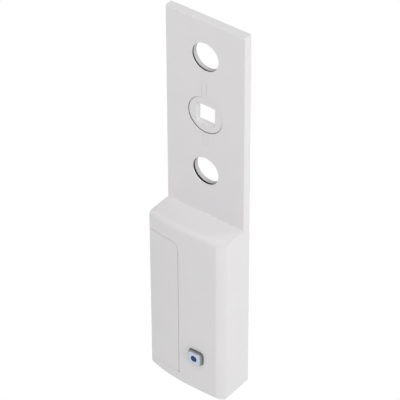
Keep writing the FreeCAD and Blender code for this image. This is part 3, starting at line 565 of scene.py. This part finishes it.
def chip_blocks():
    """Lowest and highest corner of each separate block of the group of small chips."""
    form = bmesh.new()
    form.from_mesh(nodes["chip_parts"].data)
    bmesh.ops.remove_doubles(form, verts=form.verts, dist=1e-6)
    left, blocks = set(form.verts), []
    while left:
        island, front = set(), [left.pop()]
        while front:
            vertex = front.pop()
            island.add(vertex)
            around = {edge.other_vert(vertex) for edge in vertex.link_edges}
            front += around & left
            left -= around
        coordinates = list(zip(*(vertex.co for vertex in island)))
        blocks.append((Vector(map(min, coordinates)), Vector(map(max, coordinates))))
    form.free()
    return sorted(blocks, key=lambda pair: tuple(pair[0]))


def add_end_caps(form, blocks):
    """Tinned caps over both ends of each small chip."""
    skin = Vector((0.03, 0.03, 0.03)) * MM
    for low, high in blocks:
        for left, right in ((low.x, low.x + 0.25 * MM), (high.x - 0.25 * MM, high.x)):
            under = Vector((left, low.y, low.z)) - skin
            over = Vector((right, high.y - 0.05 * MM, high.z)) + skin
            add_box(form, under, over)


# ---------------------------------------------------------------- stage


FLOOR_LEVEL = -0.9
FLOOR_REACH = 6.0
FLOOR_GLOW = 0.281
AMBIENT = 0.427


def build_stage():
    """A pale floor and a white surround, both plain white to the camera."""
    scene = bpy.context.scene
    scene.view_settings.view_transform = "Standard"
    mesh = bpy.data.meshes.new("floor")
    corners = [(x * FLOOR_REACH, y * FLOOR_REACH) for x, y in ((-1, -1), (1, -1), (1, 1), (-1, 1))]
    mesh.from_pydata([(x, y, FLOOR_LEVEL) for x, y in corners], [], [(0, 1, 2, 3)])
    floor = bpy.data.objects.new("floor", mesh)
    scene.collection.objects.link(floor)
    graph = Graph("floor_white")
    graph.uniform(Base_Color=(0.9, 0.9, 0.9, 1.0), Roughness=0.9)
    graph.uniform(Emission_Color=(1.0, 1.0, 1.0, 1.0), Emission_Strength=FLOOR_GLOW)
    seen_white(graph.tree, graph.shader.outputs["BSDF"], "ShaderNodeEmission", "Material Output")
    mesh.materials.append(graph.material)

    world = bpy.data.worlds.new("studio")
    scene.world = world
    world.use_nodes = True
    tree = world.node_tree
    around = tree.nodes["Background"]
    around.inputs["Color"].default_value = (1.0, 1.0, 1.0, 1.0)
    around.inputs["Strength"].default_value = AMBIENT
    seen_white(tree, around.outputs["Background"], "ShaderNodeBackground", "World Output")


def seen_white(tree, lit, kind, output):
    """Plain white where the camera looks straight at it; the given shader for the light that it gives."""
    plain = tree.nodes.new(kind)
    plain.inputs["Color"].default_value = (1.0, 1.0, 1.0, 1.0)
    plain.inputs["Strength"].default_value = 1.0
    path = tree.nodes.new("ShaderNodeLightPath")
    mix = tree.nodes.new("ShaderNodeMixShader")
    tree.links.new(path.outputs["Is Camera Ray"], mix.inputs["Fac"])
    tree.links.new(lit, mix.inputs[1])
    tree.links.new(plain.outputs[0], mix.inputs[2])
    tree.links.new(mix.outputs["Shader"], tree.nodes[output].inputs["Surface"])


LIGHTS = {
    "key_light": ((0.75, -0.15, 0.30), 0.5, 2.29),
    "top_light": ((0.0, -0.15, 0.85), 0.6, 0.285),
    "front_light": ((-0.35, -0.8, 0.25), 0.5, 0.327),
    "brow_light": ((0.2, -0.6, 0.75), 0.5, 2.75),
    "back_light": ((0.5, 0.7, 0.5), 0.5, 2.16),
}


def softbox(name, place, side, watts):
    """A square area light that faces the middle of the unit."""
    light = bpy.data.lights.new(name, "AREA")
    light.shape = "SQUARE"
    light.size = side
    light.energy = watts
    item = bpy.data.objects.new(name, light)
    bpy.context.scene.collection.objects.link(item)
    item.location = place
    item.rotation_mode = "QUATERNION"
    item.rotation_quaternion = (MIDDLE - Vector(place)).to_track_quat("-Z", "Y")


CAMERA_TURNS = (37.46, 38.1, -0.26)
CAMERA_TARGET = Vector((-4.41, 0.0, -36.78)) * MM
CAMERA_DISTANCE = 820.08 * MM
FOCAL_LENGTH_IN_PIXELS = 2599.0
FRAME_IN_PIXELS = 400.0
SENSOR_WIDTH = 36.0


def build_camera():
    """The photograph's viewing angle: turned right, looking down, with a long lens."""
    yaw, pitch, roll = (math.radians(angle) for angle in CAMERA_TURNS)
    level = math.cos(pitch)
    back = Vector((math.sin(yaw) * level, -math.cos(yaw) * level, math.sin(pitch)))
    right = Vector((math.cos(yaw), math.sin(yaw), 0.0))
    up = back.cross(right)
    side = right * math.cos(roll) + up * math.sin(roll)
    top = up * math.cos(roll) - right * math.sin(roll)
    data = bpy.data.cameras.new("camera")
    data.sensor_width = SENSOR_WIDTH
    data.lens = FOCAL_LENGTH_IN_PIXELS / FRAME_IN_PIXELS * SENSOR_WIDTH
    data.clip_start = 0.05
    data.clip_end = 20.0
    camera = bpy.data.objects.new("camera", data)
    bpy.context.scene.collection.objects.link(camera)
    turn = Matrix((side, top, back)).transposed().to_4x4()
    camera.matrix_world = Matrix.Translation(CAMERA_TARGET + back * CAMERA_DISTANCE) @ turn
    bpy.context.scene.camera = camera


add_fittings(paint_all())
build_stage()
for light_name, settings in LIGHTS.items():
    softbox(light_name, *settings)
build_camera()
